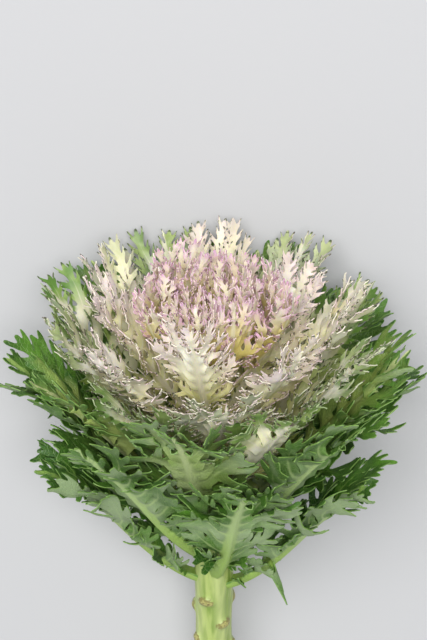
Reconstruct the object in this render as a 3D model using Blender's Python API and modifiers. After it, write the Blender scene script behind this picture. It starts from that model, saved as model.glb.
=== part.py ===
"""Ornamental kale: one cut stem with its rosette of feathery leaves, lying on a surface.

Metres, +Z up. The plant is first built upright in its own frame, with its axis on +Z, its
lowest leaf joint at height 0 and +Y pointing at the side it lies on. It is then laid down:
the cut end and the leaves pressed flat under the head touch the surface, and the head
points along +Y.
"""

import math
import random
from typing import NamedTuple

import bmesh
import bpy
import numpy as np
from mathutils import Matrix, Vector

MM = 0.001
SEED = 11


class LeafKind(NamedTuple):
    """How one sort of leaf is cut."""

    pairs: int  # side lobes down each side
    petiole: float  # share of the length that is stalk
    tooth_half: float  # half the width of a tooth's end, as a share of the lobe's root
    wave: float  # how far the edges wave, in steps of the spiral


GREEN = LeafKind(pairs=5, petiole=0.34, tooth_half=0.20, wave=0.62)
CREAM = LeafKind(pairs=5, petiole=0.26, tooth_half=0.0, wave=0.8)
INNER = LeafKind(pairs=3, petiole=0.20, tooth_half=0.0, wave=0.7)

# Stem: (height, radius) in mm, from the cut end to the flat seat of the heart
STEM_PROFILE = (
    (-232, 8.7), (-200, 8.5), (-150, 8.8), (-100, 8.5), (-50, 8.9), (-14, 9.0), (4, 9.8),
    (26, 9.2), (50, 8.6), (72, 7.8), (90, 6.8), (106, 5.6),
)
STEM_BELOW = 232 * MM
STEM_RADIUS = 8.7 * MM
STEM_TOP = 106 * MM
STEM_SIDES = 16
RIBS_ROUND = 5
RIB_SWELL = 0.025
RIBBED_BELOW = -20 * MM
CUT_ANGLE = math.radians(14)

# Stubs of the leaves that were stripped, closest together under the head
SCAR_COUNT = 23
SCAR_STEP = 3.5 * MM
SCAR_SPREAD = 0.055
SCAR_WIDTH = 3.6 * MM
SCAR_STANDS = 1.9 * MM
SCAR_LEAN = math.radians(72)
SCAR_JITTER = 0.1

# Leaves stand on the stem in one spiral, counted upwards from the lowest.
OUTER_COUNT = 16
CREAM_COUNT = 17
HEART_COUNT = 12
HEART_GAP = 1.6
GOLDEN_ANGLE = math.radians(137.508)
FIRST_AZIMUTH = math.radians(-24)
AZIMUTH_JITTER = math.radians(4)
LENGTH_RANGE = (0.94, 1.04)
SEAT_GAP = 0.3 * MM

# How a leaf rises, by its place in the spiral: where it leaves the stem and how steeply, how
# far out and how high its tip is, how steeply it ends, and how far its lobes reach (mm, degrees)
PLACE = (0, 8, 16, 24, 33, 34.6, 47)
BASE_HEIGHT = (3, 29, 54, 77, 99, 109, 114)
BASE_RADIUS = (10.1, 9.4, 8.7, 7.8, 6.5, 4.6, 1.6)
BASE_RISE = (33, 41, 47, 52, 56, 54, 74)
TIP_RADIUS = (88, 105, 95, 76, 54, 43, 8)
TIP_HEIGHT = (77, 131, 152, 165, 172, 172, 179)
TIP_RISE = (26, 36, 44, 54, 70, 86, 100)
BLADE_REACH = (40, 42, 38, 34, 28, 24, 11)
CURVE_ARM = 0.36
LIFT_PLACE = (0, 10, 18, 27, 31, 36, 46)
FRONT_LIFT = (8, 5, -1, -8, 4, 10, 0)

# A leaf's rib and blade
BLADE_THICK = 0.75 * MM
RIB_THICK_LOWEST = 4.2 * MM
RIB_THICK_HIGHEST = 1.7 * MM
RIB_HALF_LOWEST = 3.6 * MM
RIB_HALF_HIGHEST = 2.1 * MM
RIB_FOOT = 1.15
RIB_TAPER = 0.72
KEEL_TAPER = 0.85
HEART_RIB = (1.6 * MM, 1.9 * MM)
WAVE_PITCH = 2.3
LEFT_PHASE = -0.6
RIGHT_PHASE = 1.1
FLATTEN = 0.45

# A side lobe: along it as shares of its reach, across it as shares of its root's half width
SHOULDER_AT = 0.55
SHOULDER_HALVES = (0.72, 0.80)
NOTCH_DEPTH = 0.10
LOW_TOOTH = (0.90, -0.80)
HIGH_TOOTH = (1.02, 0.62)
LOBE_SWEEP = 18
LOBE_SWEEP_GAIN = 24
LOBE_SWEEP_JITTER = 5
LOBE_RANGE = (0.86, 1.08)
LOBE_PLACE = (0, 0.3, 0.6, 1)
LOBE_ROUND = (0.65, 0.95, 1.0, 0.64)
LEAFLET_REACH = 0.17
END_HALF = 0.16
END_NECK = 0.45

# The heart's core: (radius, height) in mm, from the top down
CORE_PROFILE = ((0, 150), (4.5, 147), (7.5, 136), (8, 124), (7.6, 114), (6.6, 108))
CORE_FOOT = 5.4 * MM
CORE_SIDES = 10

# The surface it lies on
LYING_TILT = math.radians(9.9)
PRESS_START = 26 * MM
PRESS_SOFTNESS = 36 * MM
PRESSED_SKIN = 0.7 * MM

MERGE = 0.01 * MM
COLOURS = {
    "stem": ((0.50, 0.66, 0.27), 0.50),
    "green": ((0.06, 0.18, 0.06), 0.55),
    "cream": ((0.72, 0.70, 0.52), 0.60),
    "heart": ((0.80, 0.60, 0.68), 0.60),
}


def by_place(u, values):
    """A quantity that changes smoothly along the spiral, in the values' own units."""
    return float(np.interp(u, PLACE, values))


def stem_radius(height):
    heights, radii = zip(*STEM_PROFILE)
    return float(np.interp(height / MM, heights, radii)) * MM


def meridian(u, s, lift=0.0):
    """Radius and height at share s of the way out along the rising line of leaf u."""
    rise = math.radians(by_place(u, BASE_RISE)) + lift
    end_rise = math.radians(by_place(u, TIP_RISE)) + lift
    start = np.array((by_place(u, BASE_RADIUS), by_place(u, BASE_HEIGHT))) * MM
    out, up = np.array((by_place(u, TIP_RADIUS), by_place(u, TIP_HEIGHT))) * MM - start
    turned_out = out * math.cos(lift) - up * math.sin(lift)
    turned_up = out * math.sin(lift) + up * math.cos(lift)
    tip = start + np.array((turned_out, turned_up))
    arm = np.linalg.norm(tip - start) * CURVE_ARM
    first = start + arm * np.array((math.cos(rise), math.sin(rise)))
    second = tip - arm * np.array((math.cos(end_rise), math.sin(end_rise)))
    if s > 1:
        return tip + (s - 1) * 3 * (tip - second)
    t = 1 - s
    return t**3 * start + 3 * t * t * s * first + 3 * t * s * s * second + s**3 * tip


def front_lift(u, angle):
    """How much steeper leaf u stands on the side away from the surface."""
    facing = max(0.0, -math.sin(angle))
    return facing * facing * math.radians(float(np.interp(u, LIFT_PLACE, FRONT_LIFT)))


def leaf_length(u):
    points = [meridian(u, step / 12) for step in range(13)]
    return sum(np.linalg.norm(b - a) for a, b in zip(points, points[1:]))


def floor_depth(height):
    """How far from the axis, towards +Y, the surface lies at this height of the plant."""
    return STEM_RADIUS + (height + STEM_BELOW) * math.tan(LYING_TILT)


def pressed(point):
    """The leaves under the head give way evenly, so that they lie nearly flat and stay apart."""
    start = floor_depth(point.z) - PRESS_START
    if point.y <= start:
        return point
    give = 1 - math.exp((start - point.y) / PRESS_SOFTNESS)
    return Vector((point.x, start + PRESS_SOFTNESS * give, point.z))


def kept_above(point, skin):
    """A point that would pass the surface lies on it, skin above."""
    return Vector((point.x, min(point.y, floor_depth(point.z) - skin), point.z))


def extrude_chain(bm, chain, targets):
    """Grows faces from a chain of rim vertices to the target points; returns the new chain."""
    edges = [bm.edges.get(pair) for pair in zip(chain, chain[1:])]
    made = bmesh.ops.extrude_edge_only(bm, edges=edges)["geom"]
    fresh = [item for item in made if isinstance(item, bmesh.types.BMVert)]
    grown = []
    for old in chain:
        new = min(fresh, key=lambda vert: (vert.co - old.co).length_squared)
        fresh.remove(new)
        grown.append(new)
    for new, target in zip(grown, targets):
        new.co = target
    return grown


def grow_leaflet(bm, chain, side, reach):
    """A small pointed leaflet on the stalk."""
    tip = (chain[0].co + chain[1].co) / 2 + Vector((side * reach, reach * 0.7, 0))
    extrude_chain(bm, chain, (tip, tip))


def grow_lobe(bm, chain, side, reach, sweep, tooth_half):
    """One side lobe from a rim edge of the rib: a widening blade with two teeth."""
    inner = (chain[0].co + chain[1].co) / 2
    half = (chain[1].co - chain[0].co).length / 2
    along = Vector((side * math.cos(sweep), math.sin(sweep), 0))
    across = Vector((-side * along.y, side * along.x, 0)) * half
    shoulder = inner + along * reach * SHOULDER_AT
    low_half, high_half = SHOULDER_HALVES
    ends = (shoulder - across * low_half, shoulder + across * high_half)
    low, high = extrude_chain(bm, chain, ends)
    middle = bmesh.utils.edge_split(bm.edges.get((low, high)), low, 0.5)[1]
    middle.co = shoulder + along * reach * NOTCH_DEPTH
    for pair, (out, aside) in (((low, middle), LOW_TOOTH), ((middle, high), HIGH_TOOTH)):
        tip = inner + along * reach * out + across * aside
        extrude_chain(bm, pair, (tip - across * tooth_half, tip + across * tooth_half))


def lobe_reach(reach, share):
    """Lobes are longest past the middle of the blade."""
    return reach * float(np.interp(share, LOBE_PLACE, LOBE_ROUND))


def grow_end(bm, rim, length, spread, tooth_half):
    """The end of the blade: a neck with two teeth."""
    left = length - rim[1].co.y
    neck_y = rim[1].co.y + left * END_NECK
    neck = extrude_chain(bm, rim, [Vector((x, neck_y, 0)) for x in (-spread, 0, spread)])
    point = Vector((spread * tooth_half, 0, 0))
    for pair, x in ((neck[:2], -spread * 1.25), (neck[1:], spread * 0.9)):
        tip = Vector((x, length - abs(x) * 0.3, 0))
        extrude_chain(bm, pair, (tip - point, tip + point))


def leaf_cage(kind, length, reach, rib_half, rng):
    """The leaf's flat outline as a mesh: x across, y along, a rib with lobes down each side."""
    bm = bmesh.new()
    base = [bm.verts.new((x, 0, 0)) for x in (-rib_half * RIB_FOOT, 0, rib_half * RIB_FOOT)]
    for a, b in zip(base, base[1:]):
        bm.edges.new((a, b))
    stalk = kind.petiole * length
    step = (length - stalk) / (kind.pairs + 1)
    stations = [stalk * 0.45, stalk * 0.75, stalk]
    stations += [stalk + step * (k + 1) for k in range(kind.pairs)]
    rows = [base]
    for y in stations:
        half = rib_half * (1 - RIB_TAPER * y / length)
        rows.append(extrude_chain(bm, rows[-1], [Vector((x, y, 0)) for x in (-half, 0, half)]))
    for side, index in ((-1, 0), (1, 2)):
        grow_leaflet(bm, (rows[1][index], rows[2][index]), side, reach * LEAFLET_REACH)
    for k in range(kind.pairs):
        low, high = rows[k + 3], rows[k + 4]
        share = (k + 0.6) / kind.pairs
        for side, index in ((-1, 0), (1, 2)):
            jitter = rng.uniform(-LOBE_SWEEP_JITTER, LOBE_SWEEP_JITTER)
            sweep = math.radians(LOBE_SWEEP + LOBE_SWEEP_GAIN * share + jitter)
            lobe = lobe_reach(reach, share) * rng.uniform(*LOBE_RANGE)
            grow_lobe(bm, (low[index], high[index]), side, lobe, sweep, kind.tooth_half)
    grow_end(bm, rows[-1], length, reach * END_HALF, kind.tooth_half)
    bmesh.ops.remove_doubles(bm, verts=bm.verts, dist=MERGE)
    bmesh.ops.triangulate(bm, faces=bm.faces)
    bmesh.ops.recalc_face_normals(bm, faces=bm.faces)
    if sum(face.normal.z * face.calc_area() for face in bm.faces) < 0:
        bmesh.ops.reverse_faces(bm, faces=bm.faces)
    return bm


class Wave(NamedTuple):
    """The waving of a blade: its height in steps of the spiral, its pitch, phase and reach."""

    height: float
    pitch: float
    phase: float
    reach: float


def on_plant(flat, u, azimuth, length, wave):
    """Lays a point of the flat leaf on the rising surface of leaf u, waved a little up or down."""
    edge = min(1.0, abs(flat.x) / wave.reach)
    phase = wave.phase + (RIGHT_PHASE if flat.x > 0 else LEFT_PHASE)
    place = u + wave.height * edge * math.sin(math.tau * flat.y / wave.pitch + phase)
    radius = meridian(u, flat.y / length)[0]
    outward = math.hypot(radius, flat.x) - radius
    share = (flat.y + FLATTEN * outward) / length
    angle = azimuth - math.atan2(flat.x, max(meridian(place, share)[0], 5 * MM))
    radius, height = meridian(place, share, front_lift(place, angle))
    return Vector((radius * math.cos(angle), radius * math.sin(angle), height))


def material(name):
    colour, roughness = COLOURS[name]
    made = bpy.data.materials.new(name)
    made.use_nodes = True
    shader = made.node_tree.nodes["Principled BSDF"]
    shader.inputs["Base Color"].default_value = (*colour, 1)
    shader.inputs["Roughness"].default_value = roughness
    return made


def set_material(made, name):
    made.data.materials.clear()
    made.data.materials.append(bpy.data.materials[name])


def new_object(name, mesh, collection):
    made = bpy.data.objects.new(name, mesh)
    collection.objects.link(made)
    return made


def new_collection(name):
    made = bpy.data.collections.new(name)
    bpy.context.scene.collection.children.link(made)
    return made


def apply_modifiers(made):
    graph = bpy.context.evaluated_depsgraph_get()
    made.data = bpy.data.meshes.new_from_object(made.evaluated_get(graph))
    made.modifiers.clear()


def leaf_object(name, bm, length, rib, place_point, collection):
    """The placed leaf with its thickness: a thin blade, and a rib that is a keel underneath."""
    flats = [vert.co.copy() for vert in bm.verts]
    for vert in bm.verts:
        vert.co = kept_above(pressed(place_point(vert.co)), PRESSED_SKIN)
    mesh = bpy.data.meshes.new(name)
    bm.to_mesh(mesh)
    bm.free()
    rib_thick, rib_half = rib
    made = new_object(name, mesh, collection)
    keel = made.vertex_groups.new(name="keel")
    for index, flat in enumerate(flats):
        middle = max(0.0, 1 - abs(flat.x) / (rib_half * 0.9))
        keel.add([index], middle * (1 - KEEL_TAPER * min(1.0, flat.y / length)), "REPLACE")
    thicken = made.modifiers.new("thickness", "SOLIDIFY")
    thicken.thickness = rib_thick
    thicken.offset = -1
    thicken.vertex_group = keel.name
    thicken.thickness_vertex_group = BLADE_THICK / rib_thick
    apply_modifiers(made)
    made.vertex_groups.clear()
    seat_and_press(made.data, [flat.y < MERGE for flat in flats])
    return made


def seat_and_press(mesh, at_base):
    """Brings the whole foot of the leaf up to the stem, and the underside onto the surface."""
    for index, vert in enumerate(mesh.vertices):
        point = vert.co.copy()
        if at_base[index % len(at_base)]:
            reach = math.hypot(point.x, point.y)
            seat = stem_radius(point.z) + SEAT_GAP
            if reach > seat:
                point.x, point.y = point.x * seat / reach, point.y * seat / reach
        vert.co = kept_above(point, 0.0)


def spiral_leaf(name, order, kind, rib, rng, collection):
    """One leaf at its place in the spiral."""
    azimuth = FIRST_AZIMUTH - GOLDEN_ANGLE * order + rng.uniform(-AZIMUTH_JITTER, AZIMUTH_JITTER)
    length = leaf_length(order)
    grown = length * rng.uniform(*LENGTH_RANGE)
    reach = by_place(order, BLADE_REACH) * MM
    bm = leaf_cage(kind, grown, reach, rib[1], rng)
    pitch = grown * (1 - kind.petiole) / (kind.pairs + 1) * WAVE_PITCH
    wave = Wave(kind.wave, pitch, rng.uniform(0, math.tau), reach)
    return leaf_object(
        name, bm, length, rib, lambda flat: on_plant(flat, order, azimuth, length, wave), collection
    )


def rib_at(order):
    """Thickness and half width of a leaf's rib at the stem."""
    share = order / (OUTER_COUNT + CREAM_COUNT)
    thick = RIB_THICK_LOWEST + (RIB_THICK_HIGHEST - RIB_THICK_LOWEST) * share
    half = RIB_HALF_LOWEST + (RIB_HALF_HIGHEST - RIB_HALF_LOWEST) * share
    return thick, half


def leaves(collection, rng):
    """The single leaves, from the lowest green one to the highest cream one."""
    made = []
    for order in range(OUTER_COUNT + CREAM_COUNT):
        green = order < OUTER_COUNT
        kind = GREEN if green else CREAM
        number = order + 1 if green else order - OUTER_COUNT + 1
        name = f"{'outer' if green else 'cream'}_leaf_{number:02d}"
        leaf = spiral_leaf(name, order, kind, rib_at(order), rng, collection)
        set_material(leaf, "green" if green else "cream")
        made.append(leaf)
    return made


def turned(name, profile, sides, collection):
    """A closed turned solid from (radius, height) points listed from the top down."""
    mesh = bpy.data.meshes.new(name)
    bm = bmesh.new()
    rim = [bm.verts.new((radius, 0, height)) for radius, height in profile]
    for a, b in zip(rim, rim[1:]):
        bm.edges.new((a, b))
    bm.to_mesh(mesh)
    bm.free()
    made = new_object(name, mesh, collection)
    screw = made.modifiers.new("turn", "SCREW")
    screw.steps = screw.render_steps = sides
    screw.use_merge_vertices = True
    screw.merge_threshold = MERGE
    apply_modifiers(made)
    return made


def union_all(made, helpers, solver):
    """Joins a collection of closed shapes to the object, and removes them."""
    join = made.modifiers.new("join", "BOOLEAN")
    join.operation = "UNION"
    join.operand_type = "COLLECTION"
    join.collection = helpers
    join.solver = solver
    apply_modifiers(made)
    for helper in list(helpers.objects):
        bpy.data.objects.remove(helper)
    bpy.data.collections.remove(helpers)


def scar_object(index, helpers, rng):
    """The stub of a leaf that was stripped: a small oval boss."""
    below = index + 2
    height = -SCAR_STEP * below * (1 + SCAR_SPREAD * below)
    azimuth = FIRST_AZIMUTH + GOLDEN_ANGLE * below + rng.uniform(-SCAR_JITTER, SCAR_JITTER)
    bm = bmesh.new()
    bmesh.ops.create_cone(
        bm, segments=7, radius1=SCAR_WIDTH * 1.15, radius2=SCAR_WIDTH * 0.72,
        depth=SCAR_STANDS * 3, cap_ends=True,
    )
    bmesh.ops.scale(bm, vec=(1, 0.72, 1), verts=bm.verts)
    centre = stem_radius(height) - SCAR_STANDS * 0.5
    turn = Matrix.Rotation(azimuth, 4, "Z") @ Matrix.Translation((centre, 0, height))
    turn = turn @ Matrix.Rotation(SCAR_LEAN, 4, "Y") @ Matrix.Rotation(math.pi / 2, 4, "Z")
    bmesh.ops.transform(bm, matrix=turn, verts=bm.verts)
    mesh = bpy.data.meshes.new("scar")
    bm.to_mesh(mesh)
    bm.free()
    return new_object(f"scar_{index}", mesh, helpers)


def ribbed_and_cut(mesh):
    """Swells the bare stalk into low ribs, and cuts its foot at a slant."""
    bm = bmesh.new()
    bm.from_mesh(mesh)
    for vert in bm.verts:
        upper_side = vert.co.y < 5 * MM
        if vert.co.z < RIBBED_BELOW and upper_side:
            swell = 1 + RIB_SWELL * math.cos(RIBS_ROUND * math.atan2(vert.co.y, vert.co.x))
            bmesh.ops.scale(bm, vec=(swell, swell, 1), verts=[vert])
    foot = Vector((0, STEM_RADIUS, -STEM_BELOW + 0.2 * MM))
    slope = Vector((0, math.sin(CUT_ANGLE), math.cos(CUT_ANGLE)))
    geometry = [*bm.verts, *bm.edges, *bm.faces]
    cut = bmesh.ops.bisect_plane(bm, geom=geometry, plane_co=foot, plane_no=slope, clear_inner=True)
    rim = [item for item in cut["geom_cut"] if isinstance(item, bmesh.types.BMEdge)]
    bmesh.ops.contextual_create(bm, geom=rim)
    bmesh.ops.recalc_face_normals(bm, faces=bm.faces)
    bm.to_mesh(mesh)
    bm.free()


def stem_object(collection, rng):
    """The stalk, cut slantwise at its foot, with the stubs of stripped leaves."""
    profile = [(radius * MM, height * MM) for height, radius in reversed(STEM_PROFILE)]
    stem = turned("stem", [(0, STEM_TOP), *profile, (0, -STEM_BELOW)], STEM_SIDES, collection)
    ribbed_and_cut(stem.data)
    helpers = new_collection("scars")
    for index in range(SCAR_COUNT):
        scar_object(index, helpers, rng)
    union_all(stem, helpers, "EXACT")
    set_material(stem, "stem")
    return stem


def heart_object(collection, rng):
    """The small crowded leaves of the heart, rooted in a short core that stands on the stem."""
    low = STEM_TOP + SEAT_GAP
    core = [(radius * MM, height * MM) for radius, height in CORE_PROFILE]
    heart = turned("heart", [*core, (CORE_FOOT, low), (0, low)], CORE_SIDES, collection)
    helpers = new_collection("heart leaves")
    for index in range(HEART_COUNT):
        order = OUTER_COUNT + CREAM_COUNT + HEART_GAP + index
        spiral_leaf(f"heart_leaf_{index}", order, INNER, HEART_RIB, rng, helpers)
    union_all(heart, helpers, "MANIFOLD")
    set_material(heart, "heart")
    return heart


def lay_down(made):
    """Turns the plant onto its side, and puts the origin at the bottom centre of its box."""
    turn = Matrix.Rotation(LYING_TILT, 4, "X") @ Matrix.Rotation(-math.pi / 2, 4, "X")
    for item in made:
        item.data.transform(turn)
    points = np.array([vert.co for item in made for vert in item.data.vertices])
    low, high = points.min(axis=0), points.max(axis=0)
    middle = (low + high) / 2
    shift = Matrix.Translation((-middle[0], -middle[1], -low[2]))
    for item in made:
        item.data.transform(shift)
        item.data.update()


def main():
    for old in list(bpy.data.objects):
        bpy.data.objects.remove(old)
    for name in COLOURS:
        material(name)
    collection = new_collection("ornamental kale")
    rng = random.Random(SEED)
    made = leaves(collection, rng)
    made.append(stem_object(collection, rng))
    made.append(heart_object(collection, rng))
    lay_down(made)


main()
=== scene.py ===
"""The looks of one cut ornamental kale, lying on a pale surface.

Metres, +Z up. Each leaf is grown flat from its rib outwards, with x across it, y along it and
z above it, and is then wrapped onto the rising surface on which its solid stands. The plant's
own frame has the stem on +Z, the lowest leaf joint at height 0 and +Y towards the surface that
it lies on; the last step lays each piece down at the place of the solid that it stands for.
"""

import math
import random
from typing import NamedTuple

import bmesh
import bpy
import numpy as np
from mathutils import Matrix, Vector, noise


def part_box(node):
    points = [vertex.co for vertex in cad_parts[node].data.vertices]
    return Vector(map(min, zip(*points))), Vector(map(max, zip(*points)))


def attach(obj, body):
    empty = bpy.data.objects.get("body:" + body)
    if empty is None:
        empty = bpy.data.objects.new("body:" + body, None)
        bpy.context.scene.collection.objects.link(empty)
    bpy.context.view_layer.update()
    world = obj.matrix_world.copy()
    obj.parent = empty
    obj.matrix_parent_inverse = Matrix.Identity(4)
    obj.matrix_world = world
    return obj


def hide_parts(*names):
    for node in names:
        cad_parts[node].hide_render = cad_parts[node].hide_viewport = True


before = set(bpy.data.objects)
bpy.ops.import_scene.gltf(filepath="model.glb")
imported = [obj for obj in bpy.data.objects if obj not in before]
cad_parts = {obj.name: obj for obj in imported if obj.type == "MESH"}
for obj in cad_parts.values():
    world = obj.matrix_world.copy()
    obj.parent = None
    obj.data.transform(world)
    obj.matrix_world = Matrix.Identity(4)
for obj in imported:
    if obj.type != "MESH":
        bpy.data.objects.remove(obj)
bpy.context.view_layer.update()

MM = 0.001
SEED = 11
LEAF_SEED_STEP = 100
HEART_SEED = 77

# The stem: (height, radius) in mm, from the cut end to the flat seat of the heart
STEM_PROFILE = (
    (-232, 8.7), (-200, 8.5), (-150, 8.8), (-100, 8.5), (-50, 8.9), (-14, 9.0), (4, 9.8),
    (26, 9.2), (50, 8.6), (72, 7.8), (90, 6.8), (106, 5.6),
)
STEM_BELOW = 232 * MM
STEM_RADIUS = 8.7 * MM
STEM_TOP = 106 * MM
STEM_TOP_RADIUS = 5.6 * MM
CUT_ANGLE = math.radians(14)
CRISP_ANGLE = math.radians(55)
STEM_SIDES = 72
STEM_STEP = 1.2 * MM
WELD = 0.01 * MM
RIBS_ROUND = 5
RIB_STANDS = 0.22 * MM
FURROWS_ROUND = 19
FURROW_DEPTH = 0.09 * MM
WINDING = 0.25
WINDING_HEIGHT = 60 * MM
RIND = 1.3 * MM
PITH_DEPTH = 0.15 * MM
CUT_RAISED = 0.2 * MM
CUT_OFF = 4 * MM

# Stubs of the leaves that were stripped, closest together under the head
SCAR_COUNT = 23
SCAR_STEP = 3.5 * MM
SCAR_SPREAD = 0.055
SCAR_HALF_WIDTH = 3.8 * MM
SCAR_HALF_HEIGHT = 2.7 * MM
SCAR_STANDS = 1.7 * MM
SCAR_EDGE = 1.45
SCAR_DROOP = 0.35
SCAR_JITTER = 0.1
CUSHION_HALF = 7 * MM
CUSHION_STANDS = 0.5 * MM

# The spiral in which the leaves stand, counted upwards from the lowest
OUTER_COUNT = 16
CREAM_COUNT = 17
HEART_FIRST = 34.6
HEART_LAST = 46.8
HEART_LEAVES = 20
HEART_GAP = 1.6
HEART_FULLER = 1.15
HEART_LENGTH_RANGE = (0.94, 1.03)
HEART_WAVE = 0.7
HEART_WAVES_ALONG = 3
HEART_RIB = (2.0 * MM, 2.3 * MM)
GOLDEN_ANGLE = math.radians(137.508)
FIRST_AZIMUTH = math.radians(-24)
AZIMUTH_JITTER = math.radians(4)
LENGTH_RANGE = (0.94, 1.04)

# How a leaf rises, by its place in the spiral (mm, degrees)
PLACE = (0, 8, 16, 24, 33, 34.6, 47)
BASE_HEIGHT = (3, 29, 54, 77, 99, 109, 114)
BASE_RADIUS = (10.1, 9.4, 8.7, 7.8, 6.5, 4.6, 1.6)
BASE_RISE = (33, 41, 47, 52, 56, 54, 74)
TIP_RADIUS = (88, 105, 95, 76, 54, 43, 8)
TIP_HEIGHT = (77, 131, 152, 165, 172, 172, 179)
TIP_RISE = (26, 36, 44, 54, 70, 86, 100)
BLADE_REACH = (40, 42, 38, 34, 28, 24, 11)
FULLER = 1.05
CURVE_ARM = 0.36
LIFT_PLACE = (0, 10, 18, 27, 31, 36, 46)
FRONT_LIFT = (8, 5, -1, -8, 4, 10, 0)
WAVE_PITCH = 2.3
LEFT_PHASE = -0.6
RIGHT_PHASE = 1.1
FLATTEN = 0.45
LEAST_RADIUS = 5 * MM
LENGTH_STEPS = 12
NORMAL_STEP = 0.6 * MM

# The surface it lies on
LYING_TILT = math.radians(9.9)
PRESS_START = 26 * MM
PRESS_SOFTNESS = 36 * MM

# Ribs and blades
BLADE_THICK = 0.5 * MM
PRESSED_SKIN = 0.6 * MM
RIB_THICK_LOWEST = 4.6 * MM
RIB_THICK_HIGHEST = 2.0 * MM
RIB_HALF_LOWEST = 3.4 * MM
RIB_HALF_HIGHEST = 1.9 * MM
RIB_TAPER = 0.72
KEEL_TAPER = 0.85
VEIN_KEEL = 0.16
FOOT_DEPTH = 3 * MM
FOOT_FLARE = 1.5
RIB_COLOUR_REACH = 1.8
RIB_EDGE_VEIN = 0.6

# Down a leaf's stalk: its stations as shares of its length, and the leaflets or teeth on it
STALK_STATIONS = (0.06, 0.2, 0.32, 0.42, 0.52, 0.62, 0.72, 0.80, 0.9)
LEAFLET_ROWS = (1, 3, 5, 7)
LEAFLET_SWEEP = (10, 50)
LEAFLET_REACH = 0.20
LEAFLET_GAIN = 0.045
LEAFLET_RANGE = (0.8, 1.25)
TOOTH_FORWARD = (0.3, 1.1)
TOOTH_RISE = (-0.5, 0.5)
TOOTH_REACH = 0.06
TOOTH_GAIN = 0.03
TOOTH_RANGE = (0.7, 1.3)

# The thin leaflet that hangs from the lowest leaf's stalk, between two of its rows
HANGING_ROWS = (9, 10)
HANGING_HEADING = (0.3, 0.05, -0.9)
HANGING_LENGTH = 25 * MM

# The whole part of the blade beside the rib: how it widens, leans and ruffles up the leaf
WING_START = 0.35
WING_GAIN = 3
WING_FORWARD = 0.45
WING_TIP = 0.08
RUFFLE_DOWN = 0.10
RUFFLE_UP = 0.06

# The side lobes: how they lean (degrees), reach, bend, turn and narrow
LOBE_SWEEP = 22
LOBE_SWEEP_GAIN = 40
SWEEP_JITTER = 6
LOBE_MIDDLE = 0.6
LOBE_ROUND_AT = (0, 0.3, 0.6, 1)
LOBE_ROUND = (0.6, 0.95, 1.0, 0.85)
LOBE_OVERLAP = 1.04
LOBE_RANGE = (0.88, 1.1)
LOBE_BEND = math.radians(26)
BEND_RANGE = (0.5, 1.3)
TWIST_RANGE = (-1.5, 0.8)
TWIST_ONSET = 2.5
LOBE_END_HALF = 0.6
LOBE_TIP = 0.12
LOBE_TIP_GAIN = 0.6
LOBE_VEIN_FADE = 0.4

# The lobe at the leaf's end: its share of the blade, and how much less it lifts than a side lobe
END_LOBE = 0.26
END_LIFT = 0.25
END_LEAN = math.radians(12)

# The fingers along a lobe
FIRST_FINGER = 0.13
LAST_FINGER = 0.84
FINGER_SPLAY = (math.radians(54), math.radians(28))
SPLAY_RANGE = (0.85, 1.15)
FINGER_LONGEST = 1.1
FINGER_SHORTENS = 0.5
FINGER_RANGE = (0.8, 1.2)

# The crisping of the blade's ends, and the most that they leave the leaf's surface
FRIZZ = 4 * MM
FRIZZ_SCALE = 260
CURL_LIMIT = 7 * MM

# A finger, as shares of its own length and of its root's width: forked, or rounded in two rows
FORK = 0.55
FORK_TIP = 0.72
FORK_VEIN = 0.3
TOOTH_UNEVEN = 0.12
TOOTH_APART = 0.62
TOOTH_HALF = 0.34
ROUNDED_ROWS = ((0.5, 1.0, 0.6), (0.86, 0.72, 0.95))  # how far out, how wide, how near an end
ROUNDED_BULGE = 0.16
ROUNDED_VEIN = 0.8
FINGER_VEIN = 0.9
FINGER_VEIN_FADE = 0.6

# The looks of every material
BUMP_STRENGTH = 0.6
SOFT_RADIUS = (0.002, 0.0025, 0.001)

# The floor, the light and the camera
FLOOR_HALF = 3.0
FILL = 0.56
KEY_WATTS = 48
FRONT_WATTS = 37
KEY_SIZE = 1.7
FRONT_SIZE = 1.2
KEY_PLACE = (-0.6, 1.3, 2.5)
FRONT_PLACE = (0.3, 1.0, 2.8)
LIT_PLACE = (0, 0.1, 0.05)
CAMERA_ABOVE_ROSETTE = math.radians(30)
CAMERA_DISTANCE = 0.95
PICTURE_WIDTH = 0.200
SENSOR_WIDTH = 36
AIM_HEIGHT = 150.8 * MM


class Solid(NamedTuple):
    """What the looks repeat of a leaf's solid, so that both stand in one place."""

    pairs: int  # side lobes down each side
    petiole: float  # share of the length that is stalk
    wave: float  # how far the blade's edge swings, in places of the spiral


class Cut(NamedTuple):
    """How one sort of leaf is cut."""

    pairs: int  # side lobes down each side
    petiole: float  # share of the length that is stalk
    wing: float  # blade left whole beside the rib, as a share of its reach
    fingers: int  # fingers down each side of a lobe
    gap: float  # room between two fingers, as a share of a finger's root
    finger: float  # length of a finger, as a share of its lobe's
    lobe_halves: tuple  # half width of a lobe at its first and last finger, of its length
    slim: float  # half width of a finger past its root, of its root's
    forked: bool  # each finger ends in two teeth
    twist: float  # how far a lobe is turned about its own vein, in degrees
    lift: float  # how far a lobe rises above or falls below the leaf, in degrees
    curl: float  # how far a finger's end leaves the leaf, as a share of its length


GREEN_SOLID = Solid(5, 0.34, 0.62)
CREAM_SOLID = Solid(5, 0.26, 0.8)
GREEN = Cut(6, 0.28, 0.12, 3, 0.48, 0.48, (0.085, 0.060), 1.05, False, 46, 16, 0.42)
LEAFLET = GREEN._replace(fingers=2, finger=0.5, twist=60, lift=30)
HANGING = LEAFLET._replace(slim=0.6)
CREAM = Cut(6, 0.24, 0.09, 4, 0.7, 0.28, (0.085, 0.050), 0.85, True, 38, 18, 0.50)
INNER = Cut(5, 0.30, 0.08, 3, 0.8, 0.28, (0.080, 0.050), 0.85, True, 44, 20, 0.60)


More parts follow.
